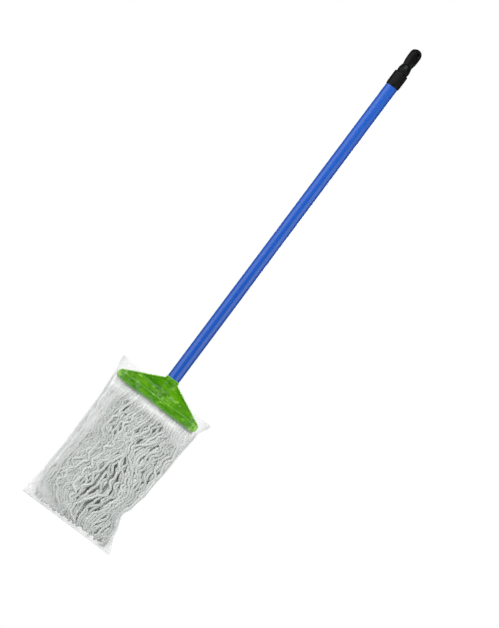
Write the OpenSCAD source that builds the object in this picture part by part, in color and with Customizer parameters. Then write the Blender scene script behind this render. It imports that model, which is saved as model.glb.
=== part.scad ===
// String mop with a two-jaw clip, hanging from the hole in its swivel loop, in the clear bag it is sold in.
// Origin: centre of the hang hole. +Z runs up the handle, the clip's front faces -Y, +X is to the right.

/* [Handle] */
// Bare handle between the end cap and the clip
grip_l = 753; // [600:1:900]
// Outside diameter of the handle over its plastic skin
tube_d = 28; // [27:0.5:28.5]
// Thickness of the plastic skin
skin_t = 0.4; // [0.3:0.1:0.6]
// Wall of the steel tube
tube_wall = 0.7; // [0.5:0.1:1.2]

/* [Hang loop and end cap] */
// Centre of the hang hole to the tip of the loop
loop_tip = 12; // [12:0.5:16]
// Greatest diameter of the loop
loop_d = 27.5; // [26:0.5:28]
// Thickness of the loop across its two flats
loop_t = 13; // [11:0.5:15]
// Diameter of the hang hole
hang_d = 9; // [6:0.5:10]
// Turn of the hang hole away from the front
loop_turn = 45; // [0:5:90]
// Diameter of the loop where it meets the cap
neck_d = 22; // [20:0.5:23]
// Tip of the loop to the lower edge of the cap
cap_l = 94; // [92:1:110]
// Outside diameter of the cap's sleeve
cap_d = 31.2; // [31.2:0.2:33]

/* [Clip] */
// Width of the clip over its round ends
clip_w = 203; // [180:1:230]
// Height of the clip, neck included
clip_h = 66; // [64:1:70]
// Height of the rounded ends, and of the rear jaw's bar
bar_h = 22; // [20:0.5:24]
// Height of the raised bar along the front
front_bar_h = 17; // [15:0.5:20]
// Slope of the shoulders
shoulder = 26; // [25:0.5:27]
// Depth that the handle goes into the socket
socket_depth = 28; // [24:0.5:32]
// Wall of the socket round the handle
socket_wall = 1.5; // [1.4:0.1:3]
// Depth of the clip from its axis to the front of the bar
jaw_front = 14; // [13:0.5:15]

/* [Clamp] */
// Diameter of the clamp bolt
bolt_d = 6; // [5:0.5:6]
// Travel of the washer and the wing nut along the bolt
nut_travel = 8; // [6:0.5:8]
// Span of the wing nut over its wings
nut_span = 28; // [24:1:30]

/* [Yarn] */
// Drop of the yarn below the clip
yarn_drop = 297; // [250:1:330]
// Depth of the gathered yarn, front to back
yarn_depth = 34; // [28:1:36]

/* [Bag] */
// Height of the bag
bag_h = 343; // [340:1:350]
// Mouth of the bag, left of the handle's axis
bag_left = 113; // [110:1:118]
// Mouth of the bag, right of the handle's axis
bag_right = 122; // [112:1:126]
// Room in the bag in front of the axis
bag_front = 20.5; // [20:0.5:24]
// Room in the bag behind the axis
bag_back = 37; // [36:0.5:42]
// Thickness of the bag's film
film_t = 0.2; // [0.2:0.1:0.5]

/* [Hidden] */
$fn = 96;
e = 0.05; // overshoot of cuts

green = "#5FA51F";
blue = "#2F66C8";
black = "#202123";
zinc = "#B9BCC0";
cotton = "#C3C8C3";
film = [0.9, 0.92, 0.93, 0.3];

// heights
cap_bottom = loop_tip - cap_l;
clip_top = cap_bottom - grip_l;
clip_bottom = clip_top - clip_h;
yarn_bottom = clip_bottom - yarn_drop;
bag_bottom = yarn_bottom - 9;
bag_mouth = bag_bottom + bag_h;

// loop and cap
loop_base = -29; // lower face of the loop
waist_z = -12; // where the loop starts to narrow
run_gap = 0.3; // air between faces that turn past each other
stem_r = 4;
stem_end = -41; // riveted over below the retainer
cap_top = loop_base - run_gap;
cap_web = 6.7; // plastic between the cap's top and its inner chamber
chamber_top = cap_top - cap_web;
tube_top = -51;
retainer_t = 1.5;
retainer_r = 7;
chamber_r = 8.5;

// tube
tube_r = tube_d / 2;
steel_r = tube_r - skin_t;
bore_r = steel_r - tube_wall;
fit_gap = 0.05; // radial air round the handle in the cap and the socket
tube_bottom = clip_top - socket_depth;
plug_l = 24;

// clip, measured down from its top
socket_r = tube_r + socket_wall;
bar_r = bar_h / 2;
end_x = clip_w / 2 - bar_r;
end_z = bar_r - clip_h;
web_front = jaw_front - 2.5; // the web stands back from the bar
web_t = 2.5;
web_inner = web_front - web_t;
rim_front = jaw_front - 0.6; // a rim stands up round the web
rim_w = 2.6;
jaw_gap = 5.5; // half of the gap between the bars
tooth_h = 0.9;
boss_l = socket_depth + 2;
fillet_r = 2.5; // where the neck runs into the shoulders
screw_z = -16;
screw_r = 2;
screw_seat = 17.8;
screw_head_r = 4.2;
hinge_y = 9;
hinge_z = -30;
knuckle_r = 5;
pin_r = 2;
pin_l = 14;
hinge_x = 45;
bolt_z = -48;
bolt_r = bolt_d / 2;
head_w = 10; // square head of the bolt, across flats
head_t = 4;
pad_r = 9;
slot_reach = 2; // up and down from the bolt, for the jaw's swing
relief_w = 38; // the rear jaw is cut away round the socket
relief_z = -39;
washer_r = 7;
washer_t = 1.2;
nut_seat = jaw_front + washer_t;
nut_h = 6;
wing_h = 11; // wings above the nut's seat

// headband
band_top = bolt_z - 4.5;
band_bottom = -clip_h - 1;
band_half = clip_w / 2 - 4.5;
core_y = 3.4;
tape_t = 0.8;
stitch_t = 0.3;
stitch_l = 5;
stitch_pitch = 8;

bag_taper = 36; // the bag closes to its seam over this height

// A flat shape drawn in X and Z, given depth from y0 back to y1
module slab(y0, y1) {
    translate([0, y1, 0]) rotate([90, 0, 0]) linear_extrude(y1 - y0) children();
}

// A rod along Y through (x, z), from y0 back to y1
module rod_y(r, y0, y1, x = 0, z = 0) {
    translate([x, y0, z]) rotate([-90, 0, 0]) cylinder(h = y1 - y0, r = r);
}

// Everything inside is placed from the top of the clip
module at_clip() {
    translate([0, 0, clip_top]) children();
}

module both_sides() {
    children();
    mirror([1, 0, 0]) children();
}

// ---- hang loop and end cap ----

module hang_loop() color(black) difference() {
    union() {
        r = loop_d / 2;
        translate([0, 0, loop_tip - r]) sphere(r = r);
        translate([0, 0, waist_z]) cylinder(h = loop_tip - r - waist_z, r = r);
        translate([0, 0, loop_base]) cylinder(h = waist_z - loop_base, r1 = neck_d / 2, r2 = r);
        translate([0, 0, stem_end]) cylinder(h = loop_base + e - stem_end, r = stem_r);
    }
    rotate([0, 0, loop_turn]) {
        for (side = [0, 180]) rotate([0, 0, side]) loop_flat();
        rod_y(hang_d / 2, -loop_t, loop_t);
        for (side = [0, 180]) rotate([0, 0, side]) hole_mouth();
    }
}

// What is cut from one side to leave a flat, with a sloping ledge below it
module loop_flat() {
    flat = loop_t / 2;
    rotate([90, 0, 90]) translate([0, 0, -20]) linear_extrude(40)
        polygon([[-flat, 20], [-flat, -14], [-flat - 5, -20], [-20, -20], [-20, 20]]);
}

module hole_mouth() {
    mouth = 1.5;
    translate([0, -loop_t / 2 - e, 0]) rotate([-90, 0, 0])
        cylinder(h = mouth + e, r1 = hang_d / 2 + mouth + e, r2 = hang_d / 2);
}

module swivel_retainer() color(zinc)
    translate([0, 0, chamber_top - run_gap - retainer_t]) difference() {
        cylinder(h = retainer_t, r = retainer_r);
        translate([0, 0, -e]) cylinder(h = retainer_t + 2 * e, r = stem_r);
    }

module cap_sleeve() color(black) rotate_extrude() polygon([
    [stem_r + 0.06, cap_top], [neck_d / 2 - 0.4, cap_top], [neck_d / 2 + 0.2, cap_top - 0.8],
    [cap_d / 2 - 3, -36], [cap_d / 2 - 2.4, -38], [cap_d / 2 - 2.4, -45],
    [cap_d / 2 - 2.9, -46], [cap_d / 2 - 2.9, -47.5], [cap_d / 2, -49.5],
    [cap_d / 2, cap_bottom + 6], [cap_d / 2 - 0.3, cap_bottom + 3], [cap_d / 2 - 0.8, cap_bottom],
    [tube_r + fit_gap, cap_bottom], [tube_r + fit_gap, tube_top], [chamber_r, tube_top],
    [chamber_r, chamber_top], [stem_r + 0.06, chamber_top]]);

// ---- handle ----

module ring(r_in, r_out, z0, z1) {
    translate([0, 0, z0]) difference() {
        cylinder(h = z1 - z0, r = r_out);
        translate([0, 0, -e]) cylinder(h = z1 - z0 + 2 * e, r = r_in);
    }
}

// The hole that the fixing screw makes, from inside the plug out past the socket
module screw_hole() {
    rod_y(screw_r, 3, 30, 0, clip_top + screw_z);
}

module steel_tube() color(zinc) difference() {
    ring(bore_r, steel_r, tube_bottom, tube_top);
    screw_hole();
}

module tube_skin() color(blue) difference() {
    ring(steel_r, tube_r, tube_bottom, tube_top);
    screw_hole();
}

module tube_plug() color(black) difference() {
    translate([0, 0, tube_bottom]) cylinder(h = plug_l, r = bore_r);
    translate([0, 0, tube_bottom - e]) cylinder(h = 6, r = 7);
    screw_hole();
}

module handle_screw() color(zinc) at_clip() difference() {
    union() {
        rod_y(screw_r, 5, screw_seat + e, 0, screw_z);
        rod_y(screw_head_r, screw_seat, screw_seat + 1, 0, screw_z);
        translate([0, screw_seat + 1, screw_z]) rotate([-90, 0, 0]) cylinder(h = 1.4, r1 = screw_head_r, r2 = 2.6);
    }
    for (turn = [0, 90]) translate([0, screw_seat + 1.6, screw_z]) rotate([0, turn, 0])
        cube([4.4, 1.8, 0.9], center = true);
}

// ---- clip ----

// Shoulder line: its lower end, where it touches the round end of the bar
shoulder_x = end_x + bar_r * sin(shoulder);
shoulder_z = end_z + bar_r * cos(shoulder);
// Height of the shoulder line at x
function shoulder_at(x) = shoulder_z + (shoulder_x - x) * tan(shoulder);
fillet_z = shoulder_at(socket_r) + fillet_r * tan((90 - shoulder) / 2);
fillet = [for (i = [0:8]) let (a = 180 + i * (90 - shoulder) / 8)
    [socket_r + fillet_r * (1 + cos(a)), fillet_z + fillet_r * sin(a)]];

// Outline of the clip seen from the front, without its round ends
module shoulders() {
    half = concat([[0, 0], [socket_r, 0]], fillet,
        [[shoulder_x, shoulder_z], [end_x, end_z], [end_x, -clip_h], [0, -clip_h]]);
    both_sides() polygon(half);
}

module bar_shape() {
    translate([-end_x, -clip_h]) square([2 * end_x, bar_h]);
    both_sides() translate([end_x, end_z]) circle(r = bar_r);
}

// The raised bar keeps inside the rim at its round ends
module front_bar() {
    r = front_bar_h / 2;
    translate([-end_x, -clip_h]) square([2 * end_x, front_bar_h]);
    both_sides() translate([end_x, r - clip_h]) circle(r = r);
}

module clip_shape() {
    shoulders();
    bar_shape();
}

// Three rows of teeth along the inside of a bar, standing in towards the yarn from y
module teeth(y, inwards) {
    for (i = [0:2]) translate([-end_x, y, -clip_h + 3.5 + 4.5 * i]) rotate([90, 0, 90])
        linear_extrude(2 * end_x) polygon([[0, -1.2], [inwards * tooth_h, 0], [0, 1.2]]);
}

module ear(x) {
    translate([x - 2, 0, hinge_z]) rotate([90, 0, 90]) linear_extrude(4) {
        translate([hinge_y, 0]) circle(r = knuckle_r);
        translate([-web_inner - e, -knuckle_r]) square([hinge_y + web_inner, 2 * knuckle_r]);
    }
}

module pin_hole(r) {
    translate([hinge_x - 10, hinge_y, hinge_z]) rotate([0, 90, 0]) cylinder(h = 20, r = r);
}

module front_jaw() color(green) at_clip() difference() {
    union() {
        slab(-web_front, -web_inner) clip_shape();
        slab(-web_front, -1) difference() {
            clip_shape();
            offset(delta = -2.5) clip_shape();
            translate([-clip_w, -clip_h - 1]) square([2 * clip_w, bar_h + 1]);
        }
        slab(-rim_front, -web_inner) difference() {
            clip_shape();
            offset(delta = -rim_w) clip_shape();
        }
        slab(-jaw_front, -jaw_gap) front_bar();
        teeth(-jaw_gap - e, 1);
        socket();
        both_sides() for (side = [-1, 1]) ear(hinge_x + side * 5);
        translate([-7.5, -web_inner - e, bolt_z - 7.5]) cube([15, head_t + e, 15]);
    }
    translate([0, 0, -socket_depth]) cylinder(h = socket_depth + 1, r = tube_r + fit_gap);
    rod_y(screw_r, 5, 30, 0, screw_z);
    both_sides() pin_hole(pin_r);
    translate([-head_w / 2 - 0.1, -web_inner, bolt_z - head_w / 2 - 0.1])
        cube([head_w + 0.2, 10, head_w + 0.2]);
}

// The tube that takes the handle, with a round foot that dies into the web
module socket() {
    translate([0, 0, -boss_l]) cylinder(h = boss_l, r = socket_r);
    intersection() {
        translate([0, 0, -boss_l]) sphere(r = socket_r);
        translate([-30, -30, -60]) cube([60, 30 - web_inner, 60]);
    }
    rod_y(5, tube_r + 1, screw_seat, 0, screw_z);
}

module rear_jaw() color(green) at_clip() difference() {
    union() {
        difference() {
            slab(8, 11) clip_shape();
            translate([-relief_w / 2, 0, relief_z]) cube([relief_w, 20, 60]);
            both_sides() translate([hinge_x - 7.5, 0, hinge_z - 6.5]) cube([15, 20, 40]);
        }
        slab(jaw_gap, jaw_front) bar_shape();
        teeth(jaw_gap + e, -1);
        rod_y(pad_r, 8, jaw_front, 0, bolt_z);
        both_sides() {
            knuckle();
            for (x = [28, 62]) rib(x);
        }
    }
    slab(0, 20) hull() for (z = [-slot_reach, slot_reach]) translate([0, bolt_z + z]) circle(r = bolt_r + 0.3);
    both_sides() pin_hole(pin_r + 0.05);
}

module knuckle() {
    translate([hinge_x - 2.7, 0, hinge_z]) rotate([90, 0, 90]) linear_extrude(5.4) {
        translate([hinge_y, 0]) circle(r = knuckle_r);
        translate([8, -10]) square([3, 10]);
    }
}

// Stiffening rib down the back of the rear jaw
module rib(x) {
    top = shoulder_at(x + 3) - 4;
    translate([x - 1.2, 10, -clip_h + bar_h - 1]) cube([2.4, 3, top + clip_h - bar_h + 1]);
}

module hinge_pins() color(zinc) at_clip() both_sides()
    translate([hinge_x - pin_l / 2, hinge_y, hinge_z]) rotate([0, 90, 0]) cylinder(h = pin_l, r = pin_r);

// ---- clamp ----

module clamp_bolt() color(zinc) at_clip() {
    translate([-head_w / 2, -web_inner, bolt_z - head_w / 2]) cube([head_w, head_t, head_w]);
    rod_y(bolt_r, -web_inner + head_t - e, nut_seat + nut_travel + nut_h + 2, 0, bolt_z);
}

module clamp_washer() color(zinc) at_clip() difference() {
    rod_y(washer_r, jaw_front, jaw_front + washer_t, 0, bolt_z);
    rod_y(bolt_r + 0.2, 0, 30, 0, bolt_z);
}

module wing_nut() color(zinc) at_clip() difference() {
    union() {
        translate([0, nut_seat, bolt_z]) rotate([-90, 0, 0]) cylinder(h = nut_h, r1 = 6, r2 = 5);
        both_sides() wing();
    }
    rod_y(bolt_r + 0.05, 0, 50, 0, bolt_z);
}

module wing() {
    tip_r = 4;
    translate([0, 0, bolt_z - 1.25]) linear_extrude(2.5) {
        translate([nut_span / 2 - tip_r, nut_seat + wing_h - tip_r]) circle(r = tip_r);
        polygon([[bolt_r + 0.5, nut_seat + 1], [6, nut_seat + 1], [nut_span / 2, nut_seat + wing_h - tip_r],
            [nut_span / 2 - 2 * tip_r, nut_seat + wing_h - tip_r], [bolt_r + 0.5, nut_seat + nut_h]]);
    }
}

// ---- yarn refill ----

module band_layer(y0, y1) {
    at_clip() translate([-band_half, y0, band_bottom]) cube([2 * band_half, y1 - y0, band_top - band_bottom]);
}

module band_tape_front() color("#D9DBD6") band_layer(-core_y - tape_t, -core_y);

module band_tape_back() color("#D9DBD6") band_layer(core_y, core_y + tape_t);

module yarn_core() color(cotton) band_layer(-core_y, core_y);

// Two rows of lockstitch on each tape
module band_stitches() color("white") at_clip() {
    n = floor(band_half / stitch_pitch) - 1;
    for (side = [0, 180]) rotate([0, 0, side]) for (row = [4, 9.5], i = [-n:n])
        translate([i * stitch_pitch - stitch_l / 2, core_y + tape_t, band_bottom + row])
            cube([stitch_l, stitch_t, 0.8]);
}

// One thin layer of the gathered yarn: half its depth, its left and right reach, with cut corners
module yarn_layer(z, left, right, depth) {
    corner = min(8, depth * 0.6);
    translate([0, 0, z]) linear_extrude(0.1) polygon([[-left, 0.1], [right, 0.1],
        [right, depth - corner], [right - corner, depth], [corner - left, depth], [-left, depth - corner]]);
}

// The gathered yarn behind the axis, with the pinch in its right side
module yarn_half(left_x, right_x, waist_x) {
    half = yarn_depth / 2;
    layers = [[clip_top + band_bottom, left_x - 3, right_x - 3, core_y + tape_t],
        [clip_bottom - 28, left_x, right_x, half], [clip_bottom - 150, left_x, right_x - 2, half],
        [yarn_bottom + 64, left_x, waist_x, half - 2], [yarn_bottom, left_x + 2, right_x, 3.5]];
    for (i = [0:3]) hull() for (k = [i, i + 1])
        yarn_layer(layers[k][0] - 0.1, layers[k][1], layers[k][2], layers[k][3]);
}

module yarn_back() color(cotton) yarn_half(100, 100, 86);

module yarn_front() color(cotton) mirror([0, 1, 0]) yarn_half(100, 100, 86);

// ---- bag ----

// Inside of the bag, or its outside when grown by the film
module bag_room(grow) {
    flat_l = bag_left - 12 + grow;
    flat_r = bag_right - 19 + grow;
    full = bag_h - bag_taper;
    hull() {
        translate([0, 0, bag_mouth - full]) linear_extrude(full) polygon([[-bag_left - grow, 0],
            [-flat_l, -bag_front - grow], [flat_r, -bag_front - grow], [bag_right + grow, 0],
            [flat_r, bag_back + grow], [-flat_l, bag_back + grow]]);
        translate([-bag_left + 5 - grow, -0.2 - grow, bag_bottom + 1 - grow])
            cube([bag_left + bag_right - 20 + 2 * grow, 0.4 + 2 * grow, 1]);
    }
}

module clear_bag() color(film) difference() {
    bag_room(film_t);
    bag_room(0);
    translate([-200, -100, bag_mouth - e]) cube([400, 200, 10]);
}

hang_loop();
swivel_retainer();
cap_sleeve();
steel_tube();
tube_skin();
tube_plug();
handle_screw();
front_jaw();
rear_jaw();
hinge_pins();
clamp_bolt();
clamp_washer();
wing_nut();
band_tape_front();
band_tape_back();
band_stitches();
yarn_core();
yarn_front();
yarn_back();
clear_bag();
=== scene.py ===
import math

import bmesh
import bpy
import numpy as np
from mathutils import Matrix, Vector


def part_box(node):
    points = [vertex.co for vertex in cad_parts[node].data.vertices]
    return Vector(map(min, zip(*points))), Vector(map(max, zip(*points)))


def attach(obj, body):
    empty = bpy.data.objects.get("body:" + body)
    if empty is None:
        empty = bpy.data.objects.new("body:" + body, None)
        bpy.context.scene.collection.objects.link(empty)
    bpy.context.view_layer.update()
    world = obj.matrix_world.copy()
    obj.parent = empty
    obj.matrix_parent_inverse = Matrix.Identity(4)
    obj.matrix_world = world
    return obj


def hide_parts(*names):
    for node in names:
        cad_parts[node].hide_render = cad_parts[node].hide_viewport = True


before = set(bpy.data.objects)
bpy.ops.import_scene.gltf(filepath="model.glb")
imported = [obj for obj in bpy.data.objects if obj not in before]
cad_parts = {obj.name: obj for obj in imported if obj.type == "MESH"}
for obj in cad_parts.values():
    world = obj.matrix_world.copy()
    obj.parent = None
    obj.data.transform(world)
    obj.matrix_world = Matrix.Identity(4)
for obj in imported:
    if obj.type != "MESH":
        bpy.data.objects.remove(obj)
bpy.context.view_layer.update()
MM = 0.001

# Landmarks of the hanging mop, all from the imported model, in millimetres


def box_mm(node):
    low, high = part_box(node)
    return np.array(low) / MM, np.array(high) / MM


TAPE_LOW, TAPE_HIGH = box_mm("band_tape_back")
BAG_LOW, BAG_HIGH = box_mm("clear_bag")
BAND_TOP = box_mm("yarn_core")[1][2]
CLIP_FOOT = box_mm("front_jaw")[0][2]
YARN_FOOT = box_mm("yarn_front")[0][2]

# ---------------------------------------------------------------- camera, floor and light

LEAN = math.radians(36.79)  # how far the handle leans to the right in the view
VIEW_TALL = 1.2968  # metres of the mop's own plane from the top of the view to its foot
VIEW_MIDDLE = (0.0454, -0.6337)  # x and z in metres at the middle of the view
LENS = 135.0
SENSOR = 36.0


def make_camera():
    camera = bpy.data.objects.new("camera", bpy.data.cameras.new("camera"))
    bpy.context.scene.collection.objects.link(camera)
    camera.data.lens = LENS
    camera.data.sensor_width = SENSOR
    camera.data.clip_end = 50
    across = Vector((math.cos(LEAN), 0, math.sin(LEAN)))
    up = Vector((-math.sin(LEAN), 0, math.cos(LEAN)))
    back = Vector((0, -1, 0))
    turn = Matrix((across, up, back)).transposed().to_4x4()
    distance = VIEW_TALL * LENS / SENSOR
    stand = (VIEW_MIDDLE[0], -distance, VIEW_MIDDLE[1])
    camera.matrix_world = Matrix.Translation(stand) @ turn
    bpy.context.scene.camera = camera


def make_softbox(name, azimuth, elevation, distance, size, watts, aim=(0, 0, -0.6)):
    """A soft rectangular lamp round the mop; azimuth 0 is in front of the clip, 90 to its right."""
    lamp = bpy.data.objects.new(name, bpy.data.lights.new(name, "AREA"))
    bpy.context.scene.collection.objects.link(lamp)
    lamp.data.shape = "RECTANGLE"
    lamp.data.size, lamp.data.size_y = size
    lamp.data.energy = watts
    a, e = math.radians(azimuth), math.radians(elevation)
    aim = Vector(aim)
    away = Vector((math.sin(a) * math.cos(e), -math.cos(a) * math.cos(e), math.sin(e)))
    lamp.location = aim + away * distance
    lamp.rotation_mode = "QUATERNION"
    lamp.rotation_quaternion = (-away).to_track_quat("-Z", "Y")


def make_studio():
    make_softbox("softbox_left", -60, 2, 2.0, (2.1, 2.4), 30)
    make_softbox("softbox_right", 60, 0, 2.0, (2.1, 1.5), 19, (0, 0, -0.75))
    make_softbox("softbox_top", -8, 46, 2.3, (1.4, 1.2), 42)
    make_softbox("softbox_back", 172, 22, 2.6, (1.8, 2.0), 60)
    world = bpy.data.worlds.new("studio")
    bpy.context.scene.world = world
    world.use_nodes = True
    tree = world.node_tree
    tree.nodes.clear()
    seen = add(tree, "Background", {"Color": (1, 1, 1, 1), "Strength": 1.0})
    fill = add(tree, "Background", {"Color": (0.95, 0.97, 1, 1), "Strength": 0.18})
    straight = add(tree, "LightPath", out="Is Camera Ray")
    both = add(tree, "MixShader", {0: straight, 1: fill, 2: seen})
    add(tree, "OutputWorld", {"Surface": both})
    scene = bpy.context.scene
    scene.view_settings.view_transform = "Standard"
    scene.view_settings.look = "None"


FLOOR_Z = -1.66  # the mop hangs from a hook at head height, clear of the floor
FLOOR_R = 1.1  # metres


def make_floor():
    turns = np.linspace(0, 2 * math.pi, 96, endpoint=False)
    rim = [(FLOOR_R * math.cos(a), FLOOR_R * math.sin(a), FLOOR_Z) for a in turns]
    mesh = bpy.data.meshes.new("floor")
    mesh.from_pydata(rim, [], [tuple(range(len(rim)))])
    floor = bpy.data.objects.new("floor", mesh)
    bpy.context.scene.collection.objects.link(floor)
    mesh.materials.append(painted_floor())


# ---------------------------------------------------------------- materials


def linear(hex_colour, alpha=1.0):
    """An sRGB hex colour as the linear numbers that a shader wants."""
    parts = [int(hex_colour[i:i + 2], 16) / 255 for i in (1, 3, 5)]
    parts = [c / 12.92 if c <= 0.04045 else ((c + 0.055) / 1.055) ** 2.4 for c in parts]
    return (*parts, alpha)


def add(tree, kind, inputs=None, out=0, **settings):
    """One node with its settings and links: inputs holds values or the sockets that feed it, and out
    says which of its outputs to hand back."""
    node = tree.nodes.new("ShaderNode" + kind)
    for name, value in settings.items():
        setattr(node, name, value)
    for name, value in (inputs or {}).items():
        if isinstance(value, bpy.types.NodeSocket):
            tree.links.new(value, node.inputs[name])
        else:
            node.inputs[name].default_value = value
    return node.outputs[out] if node.outputs else None


def new_material(name):
    """A bare material, its node tree, and the socket of the mop's own coordinates in metres."""
    material = bpy.data.materials.new(name)
    material.use_nodes = True
    tree = material.node_tree
    tree.nodes.clear()
    return material, tree, add(tree, "TexCoord", out="Object")


def per_mm(x=1, y=1, z=1):
    """The scale that turns metres to millimetres, so that 1 / 22 is a pattern 22 mm across; a share
    below 1 draws the pattern out along that way."""
    return (x / MM, y / MM, z / MM)


def painted_floor():
    # Painted board: matte, with a faint roller mottle about 40 mm across; it fades out towards its rim
    material, tree, where = new_material("painted_floor")
    place = add(tree, "Mapping", {"Vector": where, "Scale": per_mm()})
    flat = add(tree, "VectorMath", {0: place, 1: (1, 1, 0)}, operation="MULTIPLY")
    away = add(tree, "VectorMath", {0: flat}, out="Value", operation="LENGTH")
    shown = add(tree, "MapRange", {"Value": away, "From Min": 250, "From Max": FLOOR_R / MM - 20,
                                   "To Min": 1.0, "To Max": 0.0}, interpolation_type="SMOOTHSTEP")
    mottle = add(tree, "TexNoise", {"Vector": place, "Scale": 1 / 40, "Detail": 3})
    colour = add(tree, "Mix", {0: mottle, 6: linear("#F0F1F1"), 7: linear("#F7F7F6")}, out=2,
                 data_type="RGBA")
    shader = add(tree, "BsdfPrincipled", {"Base Color": colour, "Roughness": 0.8, "Alpha": shown})
    add(tree, "OutputMaterial", {"Surface": shader})
    return material


def pvc_skin():
    # PVC shrink skin on the steel handle: glossy, a little wavy where it took up the tube's surface,
    # with drawing lines 0.9 mm apart along the tube and light rub marks
    material, tree, where = new_material("pvc_shrink_skin")
    place = add(tree, "Mapping", {"Vector": where, "Scale": per_mm()})
    along = add(tree, "Mapping", {"Vector": where, "Scale": per_mm(z=0.02)})
    cloud = add(tree, "TexNoise", {"Vector": place, "Scale": 1 / 22, "Detail": 3})
    colour = add(tree, "Mix", {0: cloud, 6: linear("#0A4DAC"), 7: linear("#1155B8")}, out=2,
                 data_type="RGBA")
    rub = add(tree, "TexNoise", {"Vector": along, "Scale": 1 / 1.4, "Detail": 4, "Roughness": 0.7})
    rubbed = add(tree, "MapRange", {"Value": rub, "From Min": 0.62, "From Max": 0.8})
    dulled = add(tree, "MapRange", {"Value": rubbed, "To Max": 0.14})
    patch = add(tree, "TexNoise", {"Vector": place, "Scale": 1 / 9, "Detail": 3})
    gloss = add(tree, "MapRange", {"Value": patch, "From Min": 0.3, "From Max": 0.7, "To Min": 0.24,
                                   "To Max": 0.34})
    rough = add(tree, "Math", {0: gloss, 1: dulled}, operation="ADD")
    sag = add(tree, "TexNoise", {"Vector": place, "Scale": 1 / 7, "Detail": 2})
    wave = add(tree, "Bump", {"Height": sag, "Strength": 0.12, "Distance": 0.1 * MM})
    lines = add(tree, "TexNoise", {"Vector": along, "Scale": 1 / 0.9, "Detail": 2})
    grain = add(tree, "Bump", {"Height": lines, "Strength": 0.08, "Distance": 0.02 * MM, "Normal": wave})
    shader = add(tree, "BsdfPrincipled", {"Base Color": colour, "Roughness": rough, "Normal": grain,
                                          "IOR": 1.5, "Coat Weight": 0.1, "Coat Roughness": 0.2})
    add(tree, "OutputMaterial", {"Surface": shader})
    return material


def moulded_polypropylene():
    # Injection-moulded polypropylene: bright green, waxy gloss, flow marks 14 mm wide fanning from the
    # gate and a fine tool texture; painted glints as pale smears about 9 mm wide, a painted highlight
    # along the sharper edges, and painted glare in ragged streaks towards the round ends
    material, tree, where = new_material("moulded_polypropylene")
    place = add(tree, "Mapping", {"Vector": where, "Scale": per_mm()})
    drawn = add(tree, "Mapping", {"Vector": where, "Scale": per_mm(x=0.35)})
    flow = add(tree, "TexNoise", {"Vector": drawn, "Scale": 1 / 14, "Detail": 4, "Roughness": 0.6})
    tone = add(tree, "MapRange", {"Value": flow, "From Min": 0.36, "From Max": 0.64})
    deep = add(tree, "Mix", {0: tone, 6: linear("#357C00"), 7: linear("#5FA504")}, out=2,
               data_type="RGBA")
    # Painted glints: pale smears drawn out sideways, mixed into the body colour
    glint_stretch = add(tree, "Mapping", {"Vector": where, "Scale": per_mm(x=0.6)})
    glint_smear = add(tree, "TexNoise", {"Vector": glint_stretch, "Scale": 1 / 9, "Detail": 3, "Roughness": 0.6})
    painted_glints = add(tree, "MapRange", {"Value": glint_smear, "From Min": 0.57, "From Max": 0.7, "To Max": 0.75})
    body = add(tree, "Mix", {0: painted_glints, 6: deep, 7: linear("#93CF45")}, out=2, data_type="RGBA")
    # Painted highlight along the sharper, more pointed edges
    edges = add(tree, "NewGeometry", out="Pointiness")
    edge_highlight = add(tree, "MapRange", {"Value": edges, "From Min": 0.51, "From Max": 0.6})
    edge_lit = add(tree, "Mix", {0: edge_highlight, 6: body, 7: linear("#9AD84E")}, out=2, data_type="RGBA")
    # Painted glare towards the round ends, 86 to 100 mm out from the middle, in ragged streaks
    across = add(tree, "SeparateXYZ", {0: place})
    side = add(tree, "Math", {0: across}, operation="ABSOLUTE")
    upright = add(tree, "Mapping", {"Vector": where, "Scale": per_mm(z=0.5)})
    glare_mottle = add(tree, "TexNoise", {"Vector": upright, "Scale": 1 / 7, "Detail": 3})
    glare_streak = add(tree, "MapRange", {"Value": glare_mottle, "From Min": 0.4, "From Max": 0.6, "To Min": -7,
                                    "To Max": 7})
    reach = add(tree, "Math", {0: side, 1: glare_streak}, operation="ADD")
    end_glare = add(tree, "MapRange", {"Value": reach, "From Min": 86, "From Max": 100, "To Max": 0.75})
    colour = add(tree, "Mix", {0: end_glare, 6: edge_lit, 7: linear("#A4DC60")}, out=2, data_type="RGBA")
    wax = add(tree, "TexNoise", {"Vector": place, "Scale": 1 / 3, "Detail": 4})
    rough = add(tree, "MapRange", {"Value": wax, "From Min": 0.3, "From Max": 0.7, "To Min": 0.24,
                                   "To Max": 0.4})
    tool = add(tree, "TexNoise", {"Vector": place, "Scale": 1 / 0.5, "Detail": 2})
    skin = add(tree, "Bump", {"Height": tool, "Strength": 0.18, "Distance": 0.04 * MM})
    sink = add(tree, "Bump", {"Height": flow, "Strength": 0.3, "Distance": 0.35 * MM, "Normal": skin})
    shader = add(tree, "BsdfPrincipled", {"Base Color": colour, "Roughness": rough, "Normal": sink,
                                          "IOR": 1.49, "Specular IOR Level": 0.2,
                                          "Subsurface Weight": 0.06,
                                          "Subsurface Radius": (0.3, 0.6, 0.1),
                                          "Subsurface Scale": 0.004})
    add(tree, "OutputMaterial", {"Surface": shader})
    return material


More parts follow.
